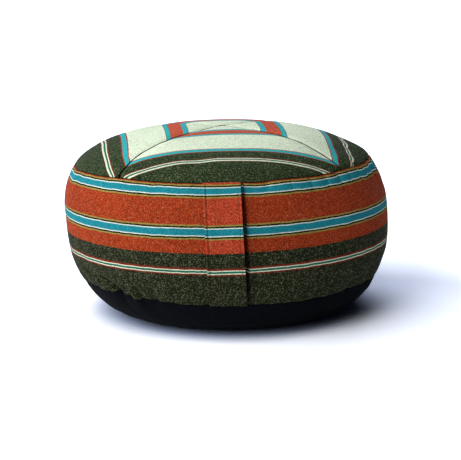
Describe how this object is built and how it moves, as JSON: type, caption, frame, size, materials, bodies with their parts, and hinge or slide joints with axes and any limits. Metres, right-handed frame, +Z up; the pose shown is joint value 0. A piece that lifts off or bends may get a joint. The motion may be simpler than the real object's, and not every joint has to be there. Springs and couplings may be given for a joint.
{
  "type": "zafu meditation cushion",
  "caption": "Round floor cushion for sitting in meditation: striped canvas band, mitred striped top, plain base and a flat carrying strap.",
  "frame": {"origin": "centre of the flat patch of the base on which the cushion rests", "axes": "+Z up through the crown of the top; the carrying strap faces -Y; +X is to the right as one faces the strap"},
  "size_m": [0.3312, 0.3348, 0.1868],
  "materials": {
    "band_canvas": "striped woven canvas, melange yarn",
    "top_canvas": "striped woven canvas, melange yarn",
    "base_canvas": "plain navy canvas",
    "strap_canvas": "striped woven canvas, folded and topstitched"
  },
  "bodies": {
    "root": {"side_band": "band_canvas", "top_quarter_front": "top_canvas", "top_quarter_right": "top_canvas", "top_quarter_back": "top_canvas", "top_quarter_left": "top_canvas", "base_panel": "base_canvas", "handle": "strap_canvas"}
  },
  "joints": []
}
